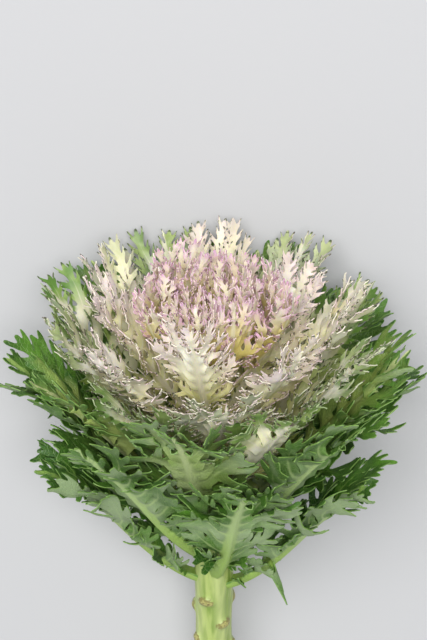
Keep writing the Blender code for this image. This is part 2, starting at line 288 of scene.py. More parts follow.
class Leaf(NamedTuple):
    """One leaf's place in the spiral and the waving of its blade."""

    order: float  # place in the spiral, counted upwards
    azimuth: float  # of its rib, round the stem
    length: float  # of the rising line at its place
    grown: float  # its own length along that line
    reach: float  # half width of its blade
    wave: float  # how far its edge swings, in places of the spiral
    pitch: float  # length of one wave
    phase: float  # where its first wave begins, as an angle


def by_place(u, values):
    """A quantity that changes smoothly along the spiral, in the values' own units."""
    return np.interp(u, PLACE, values)


def stem_radius(height):
    heights, radii = zip(*STEM_PROFILE)
    return np.interp(height / MM, heights, radii) * MM


def meridian(u, s, lift=0.0):
    """Radius and height at share s of the way out along the rising line of leaf u."""
    u, s = np.broadcast_arrays(u, s)
    rise = np.radians(by_place(u, BASE_RISE)) + lift
    end_rise = np.radians(by_place(u, TIP_RISE)) + lift
    start = np.array((by_place(u, BASE_RADIUS), by_place(u, BASE_HEIGHT))) * MM
    out, up = np.array((by_place(u, TIP_RADIUS), by_place(u, TIP_HEIGHT))) * MM - start
    turned_out = out * np.cos(lift) - up * np.sin(lift)
    turned_up = out * np.sin(lift) + up * np.cos(lift)
    tip = start + np.array((turned_out, turned_up))
    arm = np.hypot(turned_out, turned_up) * CURVE_ARM
    first = start + arm * np.array((np.cos(rise), np.sin(rise)))
    second = tip - arm * np.array((np.cos(end_rise), np.sin(end_rise)))
    inside = np.clip(s, 0, 1)
    t = 1 - inside
    curve = t**3 * start + 3 * t * t * inside * first + 3 * t * inside**2 * second
    curve = curve + inside**3 * tip
    beyond = np.maximum(s - 1, 0) * 3 * (tip - second)
    before = np.minimum(s, 0) * 3 * (first - start)
    return curve + beyond + before


def front_lift(u, angle):
    """How much steeper leaf u stands on the side away from the surface."""
    facing = np.maximum(0, -np.sin(angle))
    return facing * facing * np.radians(np.interp(u, LIFT_PLACE, FRONT_LIFT))


def leaf_length(u):
    points = np.array([meridian(u, step / LENGTH_STEPS) for step in range(LENGTH_STEPS + 1)])
    return float(np.linalg.norm(np.diff(points, axis=0), axis=1).sum())


def floor_depth(height):
    """How far from the axis, towards +Y, the surface lies at this height of the plant."""
    return STEM_RADIUS + (height + STEM_BELOW) * math.tan(LYING_TILT)


def pressed(points):
    """The leaves under the head give way evenly, so that they lie nearly flat and stay apart."""
    x, y, z = points.T
    past = np.maximum(y - floor_depth(z) + PRESS_START, 0)
    given = PRESS_SOFTNESS * (1 - np.exp(-past / PRESS_SOFTNESS))
    return np.column_stack((x, y - past + given, z))


def kept_above(points, skin):
    """Points that would pass the surface lie on it, skin above."""
    x, y, z = points.T
    return np.column_stack((x, np.minimum(y, floor_depth(z) - skin), z))


def on_surface(x, y, leaf):
    """Points of the flat leaf, laid on its own rising and waving surface."""
    edge = np.minimum(1, np.abs(x) / leaf.reach)
    phase = leaf.phase + np.where(x > 0, RIGHT_PHASE, LEFT_PHASE)
    place = leaf.order + leaf.wave * edge * np.sin(math.tau * y / leaf.pitch + phase)
    radius = meridian(leaf.order, y / leaf.length)[0]
    outward = np.hypot(radius, x) - radius
    share = (y + FLATTEN * outward) / leaf.length
    angle = leaf.azimuth - np.arctan2(x, np.maximum(meridian(place, share)[0], LEAST_RADIUS))
    radius, height = meridian(place, share, front_lift(place, angle))
    return pressed(np.column_stack((radius * np.cos(angle), radius * np.sin(angle), height)))


def wrapped(flat, leaf):
    """The leaf's points on the plant, each as far above the surface as its z says."""
    x, y, z = flat.T
    step = NORMAL_STEP
    across = on_surface(x + step, y, leaf) - on_surface(x - step, y, leaf)
    along = on_surface(x, y + step, leaf) - on_surface(x, y - step, leaf)
    normal = np.cross(across, along)
    normal /= np.linalg.norm(normal, axis=1)[:, None]
    return kept_above(on_surface(x, y, leaf) + normal * z[:, None], PRESSED_SKIN)


class Cage:
    """A leaf of few faces that is grown outwards from its rim.

    Each vertex is marked with how near it is to a vein and to the end of a finger.
    """

    def __init__(self):
        self.bm = bmesh.new()
        self.vein = self.bm.verts.layers.float.new("vein")
        self.tip = self.bm.verts.layers.float.new("tip")

    def mark(self, vert, vein, tip):
        vert[self.vein] = vein
        vert[self.tip] = tip

    def start(self, points, veins):
        """The first row of vertices."""
        row = [self.bm.verts.new(point) for point in points]
        for pair in zip(row, row[1:]):
            self.bm.edges.new(pair)
        for vert, vein in zip(row, veins):
            self.mark(vert, vein, 0)
        return row

    def grow(self, chain, targets, veins, tip):
        """Grows faces from a chain of rim vertices to the target points; returns the new chain."""
        edges = [self.bm.edges.get(pair) for pair in zip(chain, chain[1:])]
        made = bmesh.ops.extrude_edge_only(self.bm, edges=edges)["geom"]
        fresh = [item for item in made if isinstance(item, bmesh.types.BMVert)]
        grown = []
        for old, target, vein in zip(chain, targets, veins):
            new = min(fresh, key=lambda vert: (vert.co - old.co).length_squared)
            fresh.remove(new)
            new.co = target
            self.mark(new, vein, tip)
            grown.append(new)
        return grown

    def split(self, low, high, vein):
        """A new vertex in the middle of a rim edge."""
        middle = bmesh.utils.edge_split(self.bm.edges.get((low, high)), low, 0.5)[1]
        self.mark(middle, vein, (low[self.tip] + high[self.tip]) / 2)
        return middle


def grow_finger(cage, edge, heading, length, cut):
    """One finger of a lobe: rounded with a fine vein, or slim and forked."""
    low, high = edge
    root = (low.co + high.co) / 2
    half = (high.co - low.co) / 2
    if cut.forked:
        past = root + heading * length * FORK
        neck = cage.grow(edge, (past - half * cut.slim, past + half * cut.slim), (0, 0), FORK_TIP)
        middle = cage.split(*neck, FORK_VEIN)
        for pair, side in (((neck[0], middle), -1), ((middle, neck[1]), 1)):
            end = root + heading * length * (1.0 + TOOTH_UNEVEN * side) + half * side * TOOTH_APART
            cage.grow(pair, (end - half * TOOTH_HALF, end + half * TOOTH_HALF), (0, 0), 1.0)
        return
    chain = (low, cage.split(low, high, ROUNDED_VEIN), high)
    for share, narrowed, tip in ROUNDED_ROWS:
        centre = root + heading * length * share
        side = half * (cut.slim * narrowed)
        row = (centre - side, centre + heading * length * ROUNDED_BULGE * share, centre + side)
        vein = FINGER_VEIN * (1 - FINGER_VEIN_FADE * share)
        chain = cage.grow(chain, row, (0, vein, 0), tip)


def finger_rows(cut):
    """Along a lobe: where each finger begins and ends."""
    root = (LAST_FINGER - FIRST_FINGER) / (cut.fingers + cut.gap * (cut.fingers - 1))
    starts = [FIRST_FINGER + k * root * (1 + cut.gap) for k in range(cut.fingers)]
    return [(start, start + root) for start in starts]


def grow_lobe(cage, chain, heading, across, reach, cut, rng):
    """A lobe from a chain of three rim vertices, with fingers down both of its sides.

    It bends towards the leaf's end, turns about its own vein, and rises or falls a little.
    """
    centre = chain[1].co.copy()
    twist = math.radians(cut.twist) * rng.uniform(*TWIST_RANGE)
    lift = math.radians(cut.lift) * rng.uniform(-1, 1)
    bend = LOBE_BEND * rng.uniform(*BEND_RANGE)
    up = Vector((0, 0, 1))
    spans = finger_rows(cut)
    stops = [share for span in spans for share in span]
    halves = (*cut.lobe_halves, cut.lobe_halves[1] * LOBE_END_HALF)
    fingers, before = [], 0.0
    for index, share in enumerate([*stops, 1.0]):
        turned = heading * math.cos(bend * share) + across * math.sin(bend * share)
        forward = (turned * math.cos(lift) + up * math.sin(lift)).normalized()
        centre = centre + forward * reach * (share - before)
        side = across * math.cos(bend * share) - heading * math.sin(bend * share)
        leaning = twist * min(1.0, share * TWIST_ONSET)
        side = side * math.cos(leaning) + up * math.sin(leaning)
        half = reach * float(np.interp(share, (FIRST_FINGER, LAST_FINGER, 1), halves))
        row = (centre - side * half, centre, centre + side * half)
        tip = 1 if share == 1 else LOBE_TIP + LOBE_TIP_GAIN * share
        grown = cage.grow(chain, row, (0, 1 - LOBE_VEIN_FADE * share, 0), tip)
        if index % 2:
            fingers.append((share, (chain[0], grown[0]), forward, -side))
            fingers.append((share, (chain[2], grown[2]), forward, side))
        chain, before = grown, share
    for share, edge, forward, aside in fingers:
        splay = np.interp(share, (0, 1), FINGER_SPLAY) * rng.uniform(*SPLAY_RANGE)
        curl = cut.curl * rng.uniform(-1, 1)
        pointing = forward * math.cos(splay) + aside * math.sin(splay) + up * curl
        shortened = FINGER_LONGEST - FINGER_SHORTENS * share
        length = reach * cut.finger * shortened * rng.uniform(*FINGER_RANGE)
        grow_finger(cage, edge, pointing.normalized(), length, cut)


def lobe_reach(reach, share):
    """Lobes are longest past the middle of the blade."""
    return reach * FULLER * float(np.interp(share, LOBE_ROUND_AT, LOBE_ROUND))


def grow_stalk(cage, leaf, cut, rib_half):
    """The rib from its foot inside the stem to where the blade's end lobe begins."""
    foot = rib_half * FOOT_FLARE
    base = cage.start([(x, -FOOT_DEPTH, 0) for x in (-foot, 0, foot)], (1, 1, 1))
    stalk = cut.petiole * leaf.grown
    step = (leaf.grown - stalk) * (1 - END_LOBE) / cut.pairs / 2
    stations = [share * stalk for share in STALK_STATIONS]
    stations += [stalk + step * k for k in range(2 * cut.pairs + 1)]
    rows = [base]
    for index, y in enumerate(stations):
        half = rib_half * (1 - RIB_TAPER * y / leaf.grown)
        row = [Vector((x, y, 0)) for x in (-half, 0, half)]
        at_lobe = index > len(STALK_STATIONS) and (index - len(STALK_STATIONS)) % 2
        side_vein = 1 if at_lobe else RIB_EDGE_VEIN
        rows.append(cage.grow(rows[-1], row, (side_vein, 1, side_vein), 0))
    return rows


def grow_fringe(cage, rows, side, index, leaf, cut, rng):
    """The small leaflets down the stalk below the blade.

    They are plain teeth on a cream leaf, and fingered on a green one. The lowest leaf has one
    more, which hangs.
    """
    if cut is INNER:
        return
    if cut.forked:
        for low in range(2, len(STALK_STATIONS), 2):
            heading = Vector((side, rng.uniform(*TOOTH_FORWARD), rng.uniform(*TOOTH_RISE)))
            length = leaf.reach * (TOOTH_REACH + TOOTH_GAIN * low) * rng.uniform(*TOOTH_RANGE)
            edge = (rows[low][index], rows[low + 1][index])
            grow_finger(cage, edge, heading.normalized(), length, cut)
        return
    if leaf.order == 0 and side > 0:
        edge = [rows[row][index] for row in HANGING_ROWS]
        grow_finger(cage, edge, Vector(HANGING_HEADING).normalized(), HANGING_LENGTH, HANGING)
    for low in LEAFLET_ROWS:
        chain = [row[index] for row in rows[low:low + 3]]
        sweep = math.radians(rng.uniform(*LEAFLET_SWEEP))
        heading = Vector((side * math.cos(sweep), math.sin(sweep), 0))
        across = Vector((-side * heading.y, side * heading.x, 0))
        reach = leaf.reach * (LEAFLET_REACH + LEAFLET_GAIN * low) * rng.uniform(*LEAFLET_RANGE)
        grow_lobe(cage, chain, heading, across, reach, LEAFLET, rng)


def grow_wing(cage, rows, side, index, leaf, cut):
    """The whole part of the blade beside the rib, ruffled from lobe to lobe; returns its rim."""
    chain = [row[index] for row in rows]
    lowest, highest = chain[0].co.y, chain[-1].co.y
    targets, veins = [], []
    for number, vert in enumerate(chain):
        at_lobe = number % 2
        share = (vert.co.y - lowest) / (highest - lowest)
        out = cut.wing * lobe_reach(leaf.reach, share) * min(1.0, WING_START + WING_GAIN * share)
        ruffle = leaf.reach * min(1.0, WING_GAIN * share) * (RUFFLE_UP if at_lobe else -RUFFLE_DOWN)
        targets.append(vert.co + Vector((side * out, out * WING_FORWARD, ruffle)))
        veins.append(1 if at_lobe else 0)
    return cage.grow(chain, targets, veins, WING_TIP)


def leaf_cage(leaf, cut, rib_half, rng):
    """The whole leaf: its rib with lobes down each side, and a lobe at its end."""
    cage = Cage()
    rows = grow_stalk(cage, leaf, cut, rib_half)
    blade = rows[-2 * cut.pairs - 1:]
    for side, index in ((-1, 0), (1, 2)):
        grow_fringe(cage, rows, side, index, leaf, cut, rng)
        rim = grow_wing(cage, blade, side, index, leaf, cut)
        for k in range(cut.pairs):
            share = (k + LOBE_MIDDLE) / cut.pairs
            jitter = rng.uniform(-SWEEP_JITTER, SWEEP_JITTER)
            sweep = math.radians(LOBE_SWEEP + LOBE_SWEEP_GAIN * share + jitter)
            heading = Vector((side * math.cos(sweep), math.sin(sweep), 0))
            across = Vector((-side * heading.y, side * heading.x, 0))
            reach = lobe_reach(leaf.reach, share) * (LOBE_OVERLAP - cut.wing)
            reach = reach * rng.uniform(*LOBE_RANGE)
            ahead = (leaf.grown - rim[2 * k + 1].co.y) / math.sin(sweep + END_LEAN)
            grow_lobe(cage, rim[2 * k:2 * k + 3], heading, across, min(reach, ahead), cut, rng)
    left = leaf.grown - rows[-1][1].co.y
    straighter = cut._replace(lift=cut.lift * END_LIFT, curl=cut.curl * END_LIFT)
    grow_lobe(cage, rows[-1], Vector((0, 1, 0)), Vector((1, 0, 0)), left, straighter, rng)
    bmesh.ops.recalc_face_normals(cage.bm, faces=cage.bm.faces)
    if sum(face.normal.z * face.calc_area() for face in cage.bm.faces) < 0:
        bmesh.ops.reverse_faces(cage.bm, faces=cage.bm.faces)
    return cage.bm


def new_object(name, mesh):
    made = bpy.data.objects.new(name, mesh)
    bpy.context.scene.collection.objects.link(made)
    return made


def apply_modifiers(made):
    graph = bpy.context.evaluated_depsgraph_get()
    made.data = bpy.data.meshes.new_from_object(made.evaluated_get(graph))
    made.modifiers.clear()


def read_points(mesh):
    values = np.empty(len(mesh.vertices) * 3, np.float32)
    mesh.vertices.foreach_get("co", values)
    return values.reshape(-1, 3).astype(float)


def write_points(mesh, points):
    mesh.vertices.foreach_set("co", points.astype(np.float32).ravel())
    mesh.update()


def read_marks(mesh, name):
    values = np.empty(len(mesh.vertices), np.float32)
    mesh.attributes[name].data.foreach_get("value", values)
    return values


def write_marks(mesh, name, values):
    marks = mesh.attributes.get(name) or mesh.attributes.new(name, "FLOAT", "POINT")
    marks.data.foreach_set("value", np.broadcast_to(values, len(mesh.vertices)).astype(np.float32))


def add_thickness(made, weights, thick):
    """Thickens the blade downwards; the rib and veins are a keel underneath."""
    keel = made.vertex_groups.new(name="keel")
    for index, weight in enumerate(weights):
        keel.add([index], float(weight), "REPLACE")
    thicken = made.modifiers.new("thickness", "SOLIDIFY")
    thicken.thickness = thick
    thicken.offset = -1
    thicken.vertex_group = keel.name
    thicken.thickness_vertex_group = BLADE_THICK / thick
    thicken.material_offset = 1
    thicken.material_offset_rim = 2
    apply_modifiers(made)
    made.vertex_groups.clear()


def leaf_object(name, leaf, cut, rib, sides, rng):
    """One finished leaf on the plant, in the plant's own frame."""
    rib_thick, rib_half = rib
    mesh = bpy.data.meshes.new(name)
    bm = leaf_cage(leaf, cut, rib_half, rng)
    bm.to_mesh(mesh)
    bm.free()
    made = new_object(name, mesh)
    for side in sides:
        made.data.materials.append(side)
    soften = made.modifiers.new("soften", "SUBSURF")
    soften.levels = soften.render_levels = 1
    apply_modifiers(made)
    flat = read_points(made.data)
    x, y, z = flat.T
    vein, tip = read_marks(made.data, "vein"), read_marks(made.data, "tip")
    half = rib_half * (1 - RIB_TAPER * np.clip(y / leaf.grown, 0, 1))
    rounded = np.sqrt(np.clip(1 - (x / half) ** 2, 0, 1))
    taper = 1 - KEEL_TAPER * np.clip(y / leaf.grown, 0, 1)
    near_rib = np.clip(RIB_COLOUR_REACH - np.abs(x) / half, 0, 1)
    apart = Vector((leaf.order, 0, 0))
    frizz = np.array([noise.noise(Vector(point) * FRIZZ_SCALE + apart) for point in flat])
    curled = z + frizz * tip * cut.curl * FRIZZ
    on_stalk = y < leaf.grown * cut.petiole
    flat[:, 2] = np.where(on_stalk, curled, CURL_LIMIT * np.tanh(curled / CURL_LIMIT))
    write_marks(made.data, "rib", near_rib)
    write_marks(made.data, "along", np.clip(y / leaf.grown, 0, 1))
    write_marks(made.data, "place", leaf.order / HEART_LAST)
    write_points(made.data, wrapped(flat, leaf))
    add_thickness(made, np.maximum(rounded * taper, VEIN_KEEL * vein * (1 - tip)), rib_thick)
    write_points(made.data, kept_above(read_points(made.data), 0.0))
    return made


def rib_at(order):
    """Thickness and half width of a leaf's rib at the stem."""
    share = min(1.0, order / (OUTER_COUNT + CREAM_COUNT))
    thick = RIB_THICK_LOWEST + (RIB_THICK_HIGHEST - RIB_THICK_LOWEST) * share
    half = RIB_HALF_LOWEST + (RIB_HALF_HIGHEST - RIB_HALF_LOWEST) * share
    return thick, half


def drawn_leaf(order, solid, rng):
    """A leaf's place, from the same draws as its solid's, which also draws twice for each lobe."""
    azimuth = FIRST_AZIMUTH - GOLDEN_ANGLE * order + rng.uniform(-AZIMUTH_JITTER, AZIMUTH_JITTER)
    length = leaf_length(order)
    grown = length * rng.uniform(*LENGTH_RANGE)
    for _ in range(solid.pairs * 4):
        rng.random()
    phase = rng.uniform(0, math.tau)
    pitch = grown * (1 - solid.petiole) / (solid.pairs + 1) * WAVE_PITCH
    reach = float(by_place(order, BLADE_REACH)) * MM
    return Leaf(order, azimuth, length, grown, reach, solid.wave, pitch, phase)


# Laying down

def plant_origin():
    """Where the lowest leaf joint's height on the axis lies, from the stem's solid."""
    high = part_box("stem")[1]
    near_end = high.y - 2 * MM
    across = [vert.co.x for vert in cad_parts["stem"].data.vertices if vert.co.y > near_end]
    sine, cosine = math.sin(LYING_TILT), math.cos(LYING_TILT)
    return Vector((
        (min(across) + max(across)) / 2,
        high.y - STEM_TOP * cosine - STEM_TOP_RADIUS * sine,
        high.z - STEM_TOP * sine - STEM_TOP_RADIUS * cosine,
    ))


def lay_down(made):
    """Turns a piece onto its side, brings it to its place and keeps it above the surface."""
    turn = Matrix.Rotation(LYING_TILT, 4, "X") @ Matrix.Rotation(-math.pi / 2, 4, "X")
    made.data.transform(Matrix.Translation(plant_origin()) @ turn)
    points = read_points(made.data)
    points[:, 2] = np.maximum(points[:, 2], 0)
    write_points(made.data, points)
    made.data.polygons.foreach_set("use_smooth", [True] * len(made.data.polygons))
    made.data.set_sharp_from_angle(angle=CRISP_ANGLE)


def finish_piece(made, nodes):
    lay_down(made)
    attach(made, "root")
    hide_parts(*nodes)


# Materials: small helpers that join nodes

class Paint:
    """A material's nodes, joined as they are made."""

    def __init__(self, name):
        self.material = bpy.data.materials.new(name)
        self.material.use_nodes = True
        self.tree = self.material.node_tree
        self.shader = self.tree.nodes["Principled BSDF"]
        coordinates = self.tree.nodes.new("ShaderNodeTexCoord")
        self.place = coordinates.outputs["Object"]

    def node(self, kind, **inputs):
        made = self.tree.nodes.new(kind)
        for name, value in inputs.items():
            self.feed(made.inputs[name.replace("_", " ")], value)
        return made

    def feed(self, socket, value):
        if isinstance(value, bpy.types.NodeSocket):
            self.tree.links.new(value, socket)
        else:
            socket.default_value = value

    def marks(self, name):
        made = self.tree.nodes.new("ShaderNodeAttribute")
        made.attribute_name = name
        return made.outputs["Fac"]

    def noise(self, scale, detail, stretch=(1, 1, 1)):
        mapping = self.node("ShaderNodeMapping", Vector=self.place, Scale=stretch)
        made = self.node("ShaderNodeTexNoise", Vector=mapping.outputs[0], Scale=scale, Detail=detail)
        return made.outputs[0]

    def cells(self, scale):
        """How near a point is to the fine net between small cells."""
        made = self.node("ShaderNodeTexVoronoi", Vector=self.place, Scale=scale)
        made.feature = "DISTANCE_TO_EDGE"
        return made.outputs[0]

    def step(self, value, low, high, to_low=0.0, to_high=1.0):
        """A smooth step of value from low to high."""
        made = self.node("ShaderNodeMapRange")
        made.interpolation_type = "SMOOTHSTEP"
        for socket, number in zip(made.inputs[:5], (value, low, high, to_low, to_high)):
            self.feed(socket, number)
        return made.outputs[0]

    def math(self, operation, first, second):
        made = self.tree.nodes.new("ShaderNodeMath")
        made.operation = operation
        self.feed(made.inputs[0], first)
        self.feed(made.inputs[1], second)
        return made.outputs[0]

    def mix(self, share, first, second):
        """A share of the second colour in the first; the node's colours are its sockets 6 and 7."""
        made = self.tree.nodes.new("ShaderNodeMix")
        made.data_type = "RGBA"
        self.feed(made.inputs[0], share)
        self.feed(made.inputs[6], first)
        self.feed(made.inputs[7], second)
        return made.outputs[2]

    def bump(self, height, distance):
        made = self.node("ShaderNodeBump", Height=height, Distance=distance, Strength=BUMP_STRENGTH)
        self.feed(self.shader.inputs["Normal"], made.outputs[0])

    def finish(self, colour, roughness, soft=0.0):
        self.feed(self.shader.inputs["Base Color"], colour)
        self.shader.inputs["Roughness"].default_value = roughness
        self.shader.inputs["Subsurface Weight"].default_value = soft
        self.shader.inputs["Subsurface Radius"].default_value = SOFT_RADIUS
        return self.material


class GreenSide(NamedTuple):
    """The colours of one side of a green leaf."""

    dark: tuple
    light: tuple
    vein: tuple
    stalk: tuple
    bloom: tuple
    bloomed: float  # how strong the waxy bloom is where it is strongest
    roughness: float


def rgb(red, green, blue):
    """A colour from its values on screen, 0 to 255."""
    return (*(((value / 255 + 0.055) / 1.055) ** 2.4 for value in (red, green, blue)), 1.0)


# The colours, each by where it is seen
STALK_GREEN = rgb(150, 182, 84)
STALK_PALE = rgb(222, 226, 168)
YOUNG_GREEN = rgb(190, 204, 114)
EDGE_GREEN = rgb(112, 146, 68)
CREAM_WARM = rgb(236, 232, 188)
CREAM_PALE = rgb(243, 240, 226)
CREAM_PINK = rgb(234, 200, 218)
# Painted shade: the yellow-olive shade deep in the rosette, painted on the cream leaves near their base
CREAM_PAINTED_SHADE = rgb(206, 204, 118)
CREAM_VEIN = rgb(238, 232, 208)
CREAM_DOT = rgb(74, 90, 50)
MARGIN_GREEN = rgb(92, 132, 48)
MARGIN_PALE = rgb(150, 174, 96)
HEART_WARM = rgb(222, 206, 186)
HEART_PALE = rgb(232, 224, 206)
HEART_PINK = rgb(216, 166, 200)
# Painted shade: the yellow-olive shade in the depths of the heart, painted on its leaves
HEART_PAINTED_SHADE = rgb(204, 190, 112)
HEART_VEIN = rgb(228, 222, 192)
HEART_DOT = rgb(150, 110, 130)
SKIN_GREEN = rgb(126, 152, 66)
SKIN_STREAK = rgb(172, 189, 108)
SKIN_RIDGE = rgb(196, 206, 142)
SKIN_PATCH = rgb(128, 150, 92)
SCAR_RIM = rgb(132, 124, 70)
SCAR_PALE = rgb(176, 172, 104)
SCAR_MIDDLE = rgb(116, 100, 62)
PITH_DARK = rgb(214, 216, 168)
PITH_PALE = rgb(232, 232, 202)
RIND_GREEN = rgb(160, 178, 104)
PAPER_DARK = rgb(190, 190, 191)
PAPER_PALE = rgb(194, 194, 195)
STUDIO_WHITE = rgb(236, 238, 242)


def green_blade(name, side):
    """One side of a green leaf: mottled, with a waxy bloom, a pale rib and pale side veins.

    The higher in the spiral a leaf stands, the paler it is inside its edge.
    """
    paint = Paint(name)
    mottle = paint.step(paint.noise(45, 4), 0.36, 0.66)
    colour = paint.mix(mottle, side.dark, side.light)
    waxy = paint.step(paint.noise(26, 2), 0.42, 0.6, 0.0, side.bloomed)
    colour = paint.mix(waxy, colour, side.bloom)
    veins = paint.step(paint.marks("vein"), 0.62, 0.98, 0.0, 0.75)
    colour = paint.mix(veins, colour, side.vein)
    higher = paint.step(paint.marks("place"), 0.16, 0.36)
    paler = paint.step(paint.marks("place"), 0.16, 0.34)
    inner = paint.step(paint.math("ADD", paint.marks("tip"), paint.noise(90, 2)), 0.55, 1.3, 0.85, 0.0)
    colour = paint.mix(paint.math("MULTIPLY", inner, paler), colour, YOUNG_GREEN)
    stalk = paint.mix(paint.step(paint.marks("along"), 0.2, 0.6), side.stalk, side.vein)
    stalk = paint.mix(higher, stalk, STALK_PALE)
    colour = paint.mix(paint.step(paint.marks("rib"), 0.1, 0.8), colour, stalk)
    net = paint.step(paint.cells(420), 0.0, 0.12)
    colour = paint.mix(paint.step(net, 0.0, 1.0, 0.18, 0.0), colour, side.vein)
    paint.bump(paint.math("ADD", net, paint.noise(700, 2)), 0.25 * MM)
    return paint.finish(colour, side.roughness, soft=0.12)


def cream_blade(name):
    """A pale leaf with a white rib, a painted yellow shade near its base, and dark at the very ends of its
    teeth.

    The lower leaves are green towards their margin, and the higher ones are pinker.
    """
    paint = Paint(name)
    place, tip = paint.marks("place"), paint.marks("tip")
    fine = paint.noise(70, 2)
    colour = paint.mix(paint.step(paint.noise(40, 3), 0.35, 0.65), CREAM_WARM, CREAM_PALE)
    pink = paint.math("MULTIPLY", paint.step(place, 0.4, 0.64, 0.05, 0.6), paint.step(tip, 0.15, 0.8))
    colour = paint.mix(pink, colour, CREAM_PINK)
    lower = paint.step(place, 0.36, 0.68, 1.0, 0.1)
    reach = paint.math("ADD", paint.math("MULTIPLY", fine, 0.6), paint.math("MULTIPLY", lower, 0.3))
    margin = paint.step(paint.math("ADD", tip, reach), 0.75, 1.1)
    leafy = paint.mix(paint.step(fine, 0.4, 0.6), MARGIN_GREEN, MARGIN_PALE)
    colour = paint.mix(paint.math("MULTIPLY", margin, lower), colour, leafy)
    # Painted shade: yellow-olive shade painted strongest at the leaf's base, where it lies deep in the
    # rosette
    depth = paint.step(paint.marks("along"), 0.15, 0.85, 0.8, 0.0)
    colour = paint.mix(depth, colour, CREAM_PAINTED_SHADE)
    veins = paint.step(paint.marks("vein"), 0.6, 1.0)
    ribs = paint.math("MAXIMUM", veins, paint.step(paint.marks("rib"), 0.1, 0.8))
    colour = paint.mix(paint.math("MULTIPLY", ribs, 0.75), colour, CREAM_VEIN)
    dots = paint.math("MULTIPLY", paint.step(tip, 0.84, 0.94), paint.step(paint.noise(240, 1), 0.34, 0.44))
    colour = paint.mix(dots, colour, CREAM_DOT)
    paint.bump(paint.noise(600, 3), 0.2 * MM)
    return paint.finish(colour, roughness=0.5, soft=0.3)


def heart_blade(name):
    """The crisped leaves of the heart: pink towards their teeth, with painted yellow shade in their
    depths.
    """
    paint = Paint(name)
    tip = paint.marks("tip")
    colour = paint.mix(paint.step(paint.noise(60, 3), 0.35, 0.65), HEART_WARM, HEART_PALE)
    # Painted shade: the inner parts of the heart's leaves, away from their teeth, are painted yellow-olive
    # as shade
    outward = paint.math("ADD", paint.marks("along"), paint.math("MULTIPLY", tip, 0.2))
    depth = paint.step(outward, 0.6, 1.1, 1.0, 0.0)
    colour = paint.mix(depth, colour, HEART_PAINTED_SHADE)
    colour = paint.mix(paint.step(tip, 0.5, 0.95, 0.0, 0.9), colour, HEART_PINK)
    ribs = paint.step(paint.marks("rib"), 0.1, 0.8)
    colour = paint.mix(paint.math("MULTIPLY", ribs, 0.7), colour, HEART_VEIN)
    dots = paint.math("MULTIPLY", paint.step(tip, 0.93, 0.99), paint.step(paint.noise(240, 1), 0.5, 0.6))
    colour = paint.mix(dots, colour, HEART_DOT)
    paint.bump(paint.noise(600, 3), 0.2 * MM)
    return paint.finish(colour, roughness=0.5, soft=0.3)


def pale_edge(name, colour, shade, speckle):
    """The thin edge of a blade, greener on the lower leaves, with fine dark specks."""
    paint = Paint(name)
    colour = paint.mix(paint.step(paint.noise(150, 2), 0.4, 0.6), colour, shade)
    colour = paint.mix(paint.step(paint.marks("place"), 0.36, 0.58, 0.8, 0.0), colour, EDGE_GREEN)
    specks = paint.step(paint.noise(330, 1), 0.54, 0.62)
    return paint.finish(paint.mix(specks, colour, speckle), roughness=0.55)


def stalk_skin(name):
    """The stem's skin: yellow-green with pale lengthwise ribs and brownish leaf scars."""
    paint = Paint(name)
    streaks = paint.step(paint.noise(220, 3, (1, 0.06, 1)), 0.38, 0.62)
    colour = paint.mix(streaks, SKIN_GREEN, SKIN_STREAK)
    colour = paint.mix(paint.math("MULTIPLY", paint.marks("ridge"), 0.5), colour, SKIN_RIDGE)
    patches = paint.step(paint.noise(30, 3), 0.55, 0.75, 0.0, 0.5)
    colour = paint.mix(patches, colour, SKIN_PATCH)
    ragged = paint.step(paint.noise(420, 3), 0.35, 0.65, -0.25, 0.2)
    scar = paint.math("ADD", paint.marks("scar"), ragged)
    colour = paint.mix(paint.step(scar, 0.3, 0.6), colour, SCAR_RIM)
    colour = paint.mix(paint.step(scar, 0.6, 0.9), colour, SCAR_PALE)
    colour = paint.mix(paint.step(scar, 0.95, 1.15), colour, SCAR_MIDDLE)
    paint.bump(paint.math("ADD", streaks, paint.noise(900, 2)), 0.2 * MM)
    return paint.finish(colour, roughness=0.42, soft=0.15)


def cut_face(name):
    """The cut end: pale pith in a greener ring."""
    paint = Paint(name)
    speckle = paint.step(paint.noise(500, 3), 0.4, 0.65)
    colour = paint.mix(speckle, PITH_DARK, PITH_PALE)
    colour = paint.mix(paint.marks("ring"), colour, RIND_GREEN)
    paint.bump(paint.noise(700, 3), 0.2 * MM)
    return paint.finish(colour, roughness=0.6, soft=0.15)


# Pieces

def leaf_pieces(rng, sides):
    """One piece for the solid of each single leaf."""
    for order in range(OUTER_COUNT + CREAM_COUNT):
        green = order < OUTER_COUNT
        leaf = drawn_leaf(order, GREEN_SOLID if green else CREAM_SOLID, rng)
        number = order + 1 if green else order - OUTER_COUNT + 1
        node = f"{'outer' if green else 'cream'}_leaf_{number:02d}"
        own = random.Random(SEED + LEAF_SEED_STEP * order)
        slot = "green" if green else "cream"
        cut = GREEN if green else CREAM
        made = leaf_object(f"{node}_blade", leaf, cut, rib_at(order), sides[slot], own)
        finish_piece(made, [node])


